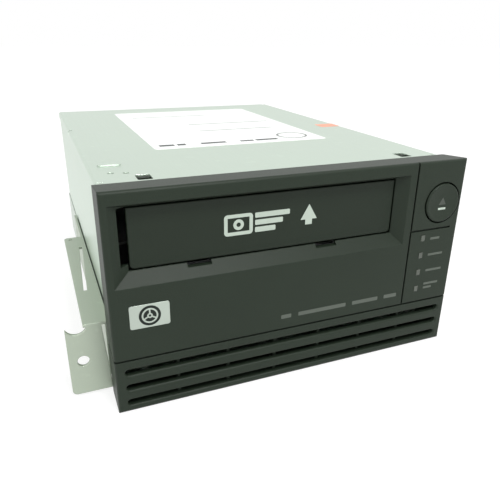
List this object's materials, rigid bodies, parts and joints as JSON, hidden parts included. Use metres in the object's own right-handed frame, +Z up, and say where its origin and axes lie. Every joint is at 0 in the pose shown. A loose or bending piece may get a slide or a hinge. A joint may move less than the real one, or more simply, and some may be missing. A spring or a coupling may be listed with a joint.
{
  "type": "data tape drive",
  "caption": "Full-height tape cartridge drive with a plastic bezel, fold-in door, eject button, steel case and a side mounting bracket.",
  "frame": {"origin": "centre of the four bottom mounting holes, on the underside of the case", "axes": "+X to the right as seen from the front, +Y from the bezel to the rear connectors, +Z up"},
  "size_m": [0.1634, 0.2121, 0.0853],
  "materials": {
    "bezel_plastic": "fine texture",
    "door_plastic": "fine texture",
    "button_plastic": "fine texture",
    "badge_metal": "satin",
    "pin_steel": "ground",
    "spring_steel": "bright wire",
    "part_black": "moulded",
    "board_laminate": "solder mask",
    "light_pipe": "clear",
    "pan_steel": "zinc plated",
    "cover_steel": "zinc plated",
    "screw_steel": "zinc plated",
    "bracket_steel": "zinc plated",
    "tray_steel": "satin",
    "gear_plastic": "moulded",
    "gear_brass": "machined",
    "motor_steel": "pressed",
    "deck_cast": "die cast",
    "hub_plastic": "moulded",
    "reel_plastic": "moulded",
    "roller_aluminium": "machined",
    "head_ceramic": "polished ceramic",
    "connector_white": "moulded",
    "fan_plastic": "moulded"
  },
  "bodies": {
    "drive_case": {"front_bezel": "bezel_plastic", "badge_plate": "badge_metal", "door_hinge_pin": "pin_steel", "door_spring": "spring_steel", "eject_switch": "part_black", "front_panel_board": "board_laminate", "led_light_pipes": "light_pipe", "base_pan": "pan_steel", "top_cover": "cover_steel", "rear_panel": "pan_steel", "cover_screws": "screw_steel", "side_bracket": "bracket_steel", "bracket_screws": "screw_steel", "tray_side_plates": "tray_steel", "loading_gear_post": "pin_steel", "load_motor": "motor_steel", "deck_plate": "deck_cast", "supply_motor": "motor_steel", "takeup_motor": "motor_steel", "guide_shafts": "pin_steel", "head_guide_rods": "pin_steel", "head_actuator": "motor_steel", "main_board": "board_laminate", "board_posts": "screw_steel", "board_chips": "part_black", "data_connector": "part_black", "power_connector": "connector_white", "fan_frame": "fan_plastic", "fan_screws": "screw_steel"},
    "door_flap": {"tape_door": "door_plastic"},
    "button_cap": {"eject_button": "button_plastic"},
    "tray_carrier": {"cartridge_tray": "tray_steel", "tray_walls": "tray_steel", "tray_pins": "pin_steel", "tray_rack": "gear_plastic"},
    "gear_wheel": {"loading_gear": "gear_plastic"},
    "drive_pinion": {"motor_pinion": "gear_brass"},
    "hub_wheel": {"supply_hub": "hub_plastic"},
    "reel_wheel": {"takeup_reel": "reel_plastic", "reel_lower_flange": "reel_plastic", "reel_upper_flange": "reel_plastic"},
    "head_lift": {"head_carriage": "deck_cast", "tape_head": "head_ceramic"},
    "fan_wheel": {"fan_rotor": "fan_plastic"},
    "roller_1": {"guide_roller_1": "roller_aluminium"},
    "roller_2": {"guide_roller_2": "roller_aluminium"},
    "roller_3": {"guide_roller_3": "roller_aluminium"},
    "roller_4": {"guide_roller_4": "roller_aluminium"}
  },
  "joints": [
    {"name": "door_hinge", "type": "hinge", "parent": "drive_case", "child": "door_flap", "pos_m": [0, -0.09523, 0.0798], "axis": [1, 0, 0], "range_deg": [0, 90], "stiffness_Nm_per_rad": 0.002, "springref_deg": -28.65},
    {"name": "eject_press", "type": "slide", "parent": "drive_case", "child": "button_cap", "axis": [0, 1, 0], "range_m": [0, 0.0012], "stiffness_N_per_m": 150, "springref_m": -0.002},
    {"name": "tray_slide", "type": "slide", "parent": "drive_case", "child": "tray_carrier", "axis": [0, 1, 0], "range_m": [0, 0.012]},
    {"name": "loading_gear_spin", "type": "hinge", "parent": "drive_case", "child": "gear_wheel", "pos_m": [0.04945, -0.03603, 0.05], "axis": [0, 0, 1], "range_deg": [-123, 0]},
    {"name": "motor_pinion_spin", "type": "hinge", "parent": "drive_case", "child": "drive_pinion", "pos_m": [0.04945, -0.05523, 0.05], "axis": [0, 0, 1], "range_deg": [0, 369]},
    {"name": "supply_hub_spin", "type": "hinge", "parent": "drive_case", "child": "hub_wheel", "pos_m": [-0.01175, -0.03302, 0.05], "axis": [0, 0, 1], "continuous": true},
    {"name": "takeup_reel_spin", "type": "hinge", "parent": "drive_case", "child": "reel_wheel", "pos_m": [-0.01275, 0.06248, 0.06], "axis": [0, 0, 1], "continuous": true},
    {"name": "head_slide", "type": "slide", "parent": "drive_case", "child": "head_lift", "axis": [0, 0, 1], "range_m": [-0.003, 0.003], "stiffness_N_per_m": 300, "springref_m": 0.0004},
    {"name": "fan_spin", "type": "hinge", "parent": "drive_case", "child": "fan_wheel", "pos_m": [0.04403, 0.1, 0.051], "axis": [0, 1, 0], "continuous": true},
    {"name": "guide_roller_1_spin", "type": "hinge", "parent": "drive_case", "child": "roller_1", "pos_m": [0.05435, 0.01197, 0.064], "axis": [0, 0, 1], "continuous": true},
    {"name": "guide_roller_2_spin", "type": "hinge", "parent": "drive_case", "child": "roller_2", "pos_m": [0.06155, 0.02697, 0.064], "axis": [0, 0, 1], "continuous": true},
    {"name": "guide_roller_3_spin", "type": "hinge", "parent": "drive_case", "child": "roller_3", "pos_m": [0.06155, 0.06498, 0.064], "axis": [0, 0, 1], "continuous": true},
    {"name": "guide_roller_4_spin", "type": "hinge", "parent": "drive_case", "child": "roller_4", "pos_m": [0.04755, 0.08397, 0.064], "axis": [0, 0, 1], "continuous": true}
  ],
  "couplings": [
    {"joint": "loading_gear_spin", "follows": "tray_slide", "rad_per_m": -178.57},
    {"joint": "motor_pinion_spin", "follows": "tray_slide", "rad_per_m": 535.71}
  ]
}
